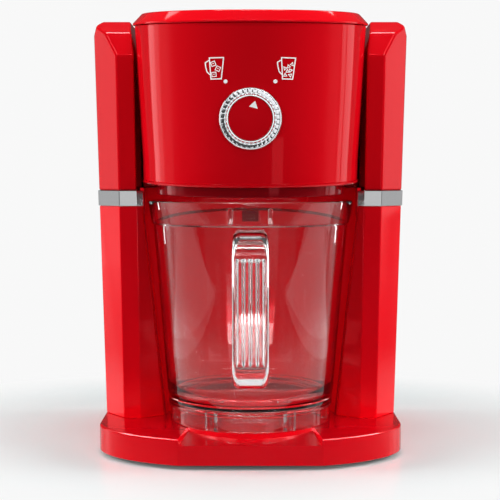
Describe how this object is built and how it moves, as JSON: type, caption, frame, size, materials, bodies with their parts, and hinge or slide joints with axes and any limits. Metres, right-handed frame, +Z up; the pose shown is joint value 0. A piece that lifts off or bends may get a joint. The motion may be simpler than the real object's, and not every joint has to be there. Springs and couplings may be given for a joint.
{
  "type": "frozen drink maker",
  "caption": "Red counter-top ice shaver with a hinged lid, a front selector knob, chrome bands and a clear jug with a ribbed handle that slides out.",
  "frame": {"origin": "on the standing surface, under the middle of the whole machine's box", "axes": "+Z up, -Y the front with the knob and the jug's handle, +X to the right of someone in front"},
  "size_m": [0.239, 0.2516, 0.3363],
  "materials": {
    "red_shell": "high gloss red",
    "red_collar": "glossy dark red",
    "chrome": "mirror",
    "black_plastic": "fine texture",
    "screw_steel": "zinc plated",
    "rubber": "matte",
    "clear_plastic": "clear, polished",
    "white_plastic": "satin",
    "gear_nylon": "moulded nylon",
    "steel": "machined",
    "copper": "enamelled windings",
    "bush_bronze": "sintered"
  },
  "bodies": {
    "body": {"base_shell": "red_shell", "base_plate": "black_plastic", "base_screws": "screw_steel", "rubber_feet": "rubber", "right_tower_lower": "red_shell", "left_tower_lower": "red_shell", "right_tower_upper": "red_shell", "left_tower_upper": "red_shell", "right_chrome_band": "chrome", "left_chrome_band": "chrome", "bay_liner": "red_shell", "head_shell": "red_shell", "rear_housing": "red_shell", "chute_collar": "red_collar", "lid_hinge_pin": "steel", "ice_hopper": "white_plastic", "shaver_plate": "steel", "shaving_blades": "steel", "idler_pin": "steel", "gearbox_tray": "white_plastic", "gearbox_cover": "white_plastic", "shaft_bushes": "bush_bronze", "gearbox_screws": "screw_steel", "motor_can": "steel", "motor_bracket": "steel", "bracket_screws": "screw_steel", "back_panel": "black_plastic", "panel_screws": "screw_steel", "cord_gland": "rubber", "knob_bezel": "chrome", "rotary_switch": "black_plastic", "switch_nut": "screw_steel", "jug_switch": "black_plastic", "lid_switch": "black_plastic"},
    "lid": {"lid": "red_shell", "lid_seal": "rubber"},
    "knob": {"knob_body": "chrome", "knob_face": "red_shell", "knob_spindle": "steel"},
    "jug": {"jug": "clear_plastic", "jug_handle": "clear_plastic"},
    "paddle": {"paddle": "white_plastic", "paddle_shaft": "steel", "driven_gear": "gear_nylon"},
    "idler": {"idler_gear": "gear_nylon"},
    "rotor": {"motor_shaft": "steel", "motor_pinion": "steel", "motor_armature": "copper", "motor_fan": "black_plastic"},
    "jug_button": {"jug_button": "black_plastic"},
    "lid_button": {"lid_button": "white_plastic"}
  },
  "joints": [
    {"name": "lid_hinge", "type": "hinge", "parent": "body", "child": "lid", "pos_m": [0, 0.08316, 0.33177], "axis": [-1, 0, 0], "range_deg": [0, 95]},
    {"name": "knob_turn", "type": "hinge", "parent": "body", "child": "knob", "pos_m": [0, -0.09824, 0.2452], "axis": [0, 0.999, 0.0446], "range_deg": [-49, 19]},
    {"name": "jug_pull", "type": "slide", "parent": "body", "child": "jug", "axis": [0, -1, 0], "range_m": [0, 0.16]},
    {"name": "paddle_spin", "type": "hinge", "parent": "body", "child": "paddle", "pos_m": [0, -0.015, 0.24], "axis": [0, 0, 1], "continuous": true},
    {"name": "idler_spin", "type": "hinge", "parent": "body", "child": "idler", "pos_m": [0, 0.05625, 0.218], "axis": [0, 0, 1], "continuous": true},
    {"name": "motor_spin", "type": "hinge", "parent": "body", "child": "rotor", "pos_m": [0, 0.0975, 0.16], "axis": [0, 0, 1], "continuous": true},
    {"name": "jug_button_push", "type": "slide", "parent": "body", "child": "jug_button", "axis": [0, 1, 0], "range_m": [0, 0.0025], "stiffness_N_per_m": 300},
    {"name": "lid_button_push", "type": "slide", "parent": "body", "child": "lid_button", "axis": [0, 0, -1], "range_m": [0, 0.002], "stiffness_N_per_m": 300}
  ],
  "couplings": [
    {"joint": "idler_spin", "follows": "paddle_spin", "ratio": -1.28},
    {"joint": "motor_spin", "follows": "paddle_spin", "ratio": 4}
  ]
}
